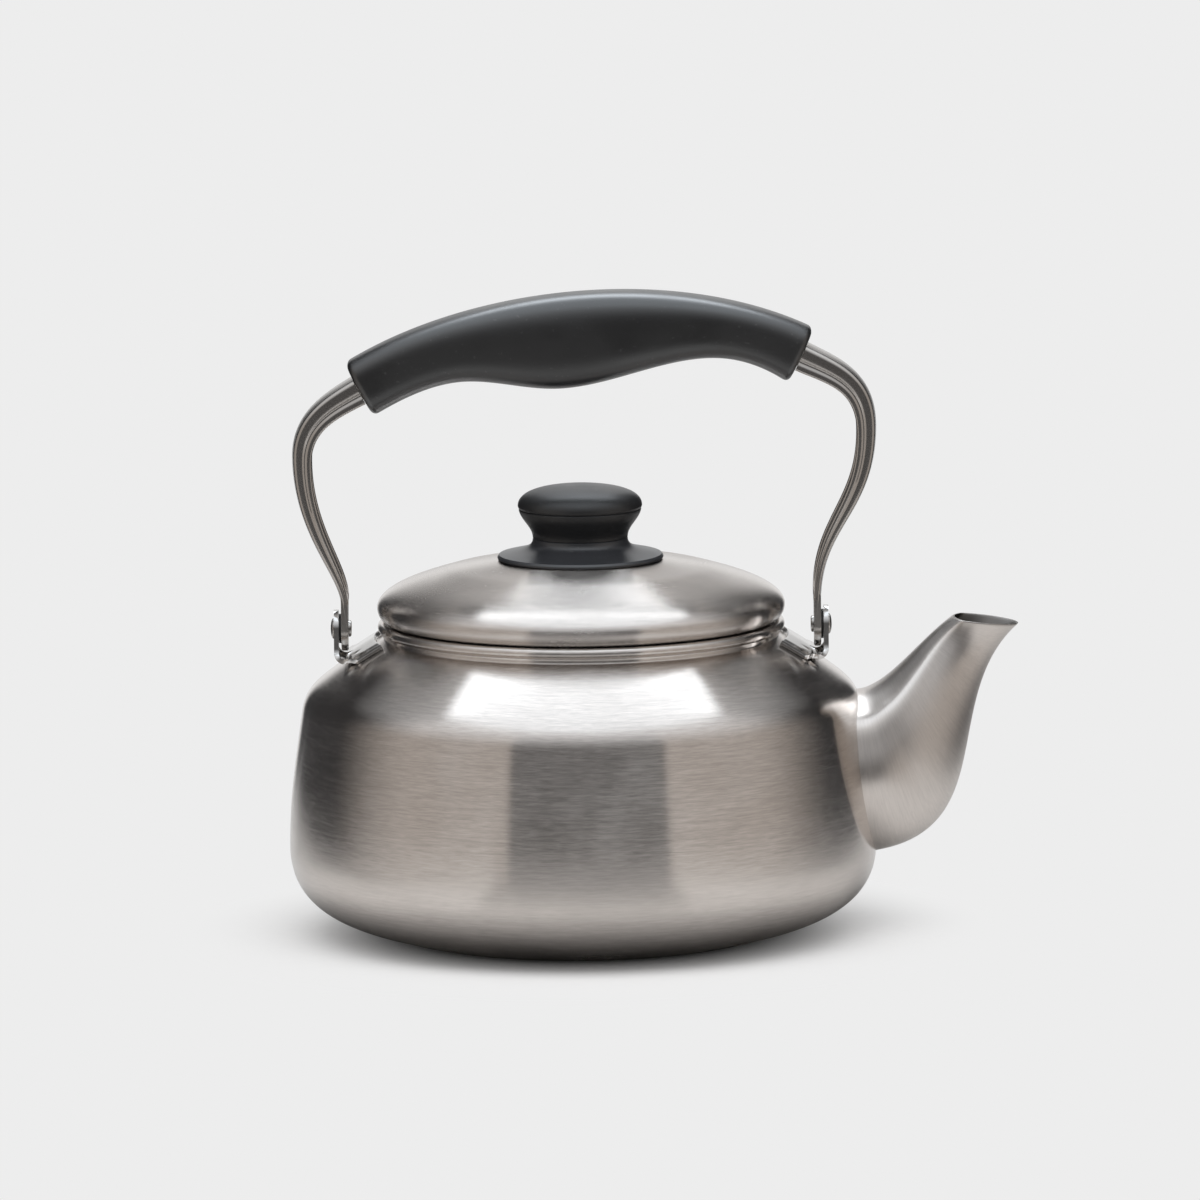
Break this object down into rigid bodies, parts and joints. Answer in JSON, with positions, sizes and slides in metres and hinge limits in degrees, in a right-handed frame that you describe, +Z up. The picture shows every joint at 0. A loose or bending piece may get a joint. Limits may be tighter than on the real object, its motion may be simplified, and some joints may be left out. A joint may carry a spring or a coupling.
{
  "type": "stovetop kettle with swinging bail handle",
  "caption": "Round brushed-steel stovetop kettle with a welded horn spout, a swinging bail handle with a moulded grip, and a lift-off domed lid with a black knob.",
  "frame": {"origin": "centre of the flat face that the kettle stands on, on the body's axis", "axes": "+Z up along the body's axis; +X towards the spout; the handle's hinge axis lies along X"},
  "size_m": [0.2494, 0.2004, 0.2207],
  "materials": {
    "brushed_steel": "fine brushed grain round the body",
    "polished_steel": "bright, lightly polished",
    "base_aluminium": "plain, sealed inside the base",
    "black_plastic": "matte moulded, heat-resistant",
    "washer_nylon": "plain dark nylon",
    "insert_brass": "machined"
  },
  "bodies": {
    "kettle": {"body_shell": "brushed_steel", "base_disc": "base_aluminium", "base_cap": "brushed_steel", "spout": "brushed_steel", "lug_left": "polished_steel", "lug_right": "polished_steel", "rivet_left": "polished_steel", "rivet_right": "polished_steel", "washer_left": "washer_nylon", "washer_right": "washer_nylon"},
    "bail": {"stem_left": "brushed_steel", "stem_right": "brushed_steel", "grip": "black_plastic", "grip_screw_left": "polished_steel", "grip_screw_right": "polished_steel"},
    "lid": {"lid_shell": "brushed_steel", "lid_skirt": "brushed_steel", "knob_base": "black_plastic", "knob_body": "black_plastic", "knob_cap": "black_plastic", "knob_insert": "insert_brass", "knob_screw": "polished_steel", "knob_washer": "polished_steel"}
  },
  "joints": [
    {"name": "bail_swing", "type": "hinge", "parent": "kettle", "child": "bail", "pos_m": [0, 0, 0.1055], "axis": [1, 0, 0], "range_deg": [-92, 92]},
    {"name": "lid_lift", "type": "slide", "parent": "kettle", "child": "lid", "axis": [0, 0, 1], "range_m": [0, 0.03]}
  ]
}
